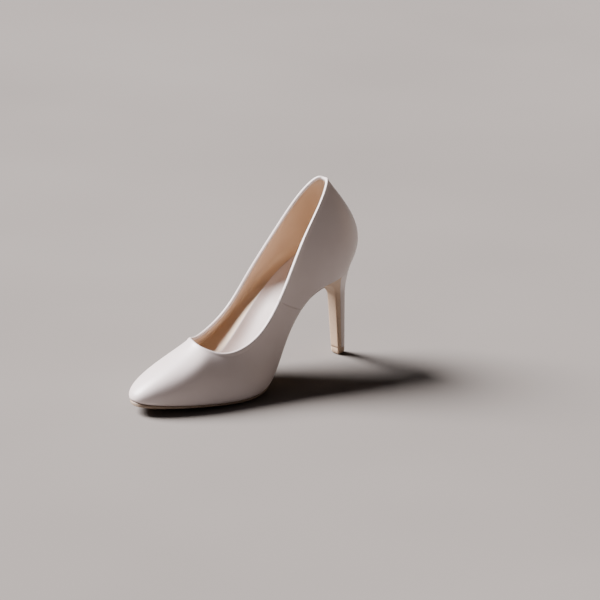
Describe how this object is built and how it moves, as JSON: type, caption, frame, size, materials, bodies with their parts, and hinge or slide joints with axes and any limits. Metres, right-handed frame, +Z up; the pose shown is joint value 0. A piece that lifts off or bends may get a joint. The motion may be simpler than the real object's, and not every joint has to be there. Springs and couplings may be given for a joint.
{
  "type": "high heel pump",
  "caption": "Pointed-toe court shoe for the right foot, with a leather upper, cupped sock, thin sole and slim covered heel.",
  "frame": {"origin": "centre of the shoe's box, on the ground it stands on", "axes": "-Y towards the toe, +Y towards the heel, +X towards the inner side of a right foot, +Z up"},
  "size_m": [0.084, 0.2222, 0.1468],
  "materials": {
    "upper_leather": "smooth semi-matte pale blush",
    "lining_leather": "matte tan",
    "sock_leather": "soft matte blush",
    "sole": "brown resin sole, satin",
    "fibre_board": "pressed fibre",
    "foam": "open foam",
    "stiffener": "resin-stiffened cloth",
    "steel": "plain steel",
    "heel_plastic": "moulded",
    "tip_plastic": "hard tan heel tip",
    "breast_leather": "tan, lightly speckled"
  },
  "bodies": {
    "root": {"vamp": "upper_leather", "inside_quarter": "upper_leather", "vamp_lining": "lining_leather", "quarter_lining": "lining_leather", "topline_tape": "stiffener", "toe_puff": "stiffener", "heel_counter": "stiffener", "insole_board": "fibre_board", "shank_board": "fibre_board", "steel_shank": "steel", "shank_rivet_1": "steel", "shank_rivet_2": "steel", "bottom_filler": "foam", "forefoot_pad": "foam", "heel_pad": "foam", "sock_lining": "sock_leather", "outsole": "sole", "heel_core": "heel_plastic", "heel_cover": "upper_leather", "heel_breast_cover": "breast_leather", "heel_tube": "steel", "top_piece": "tip_plastic", "top_piece_pin": "steel", "heel_screw": "steel", "heel_nail_1": "steel", "heel_nail_2": "steel", "heel_nail_3": "steel", "heel_nail_4": "steel", "heel_nail_5": "steel"}
  },
  "joints": []
}
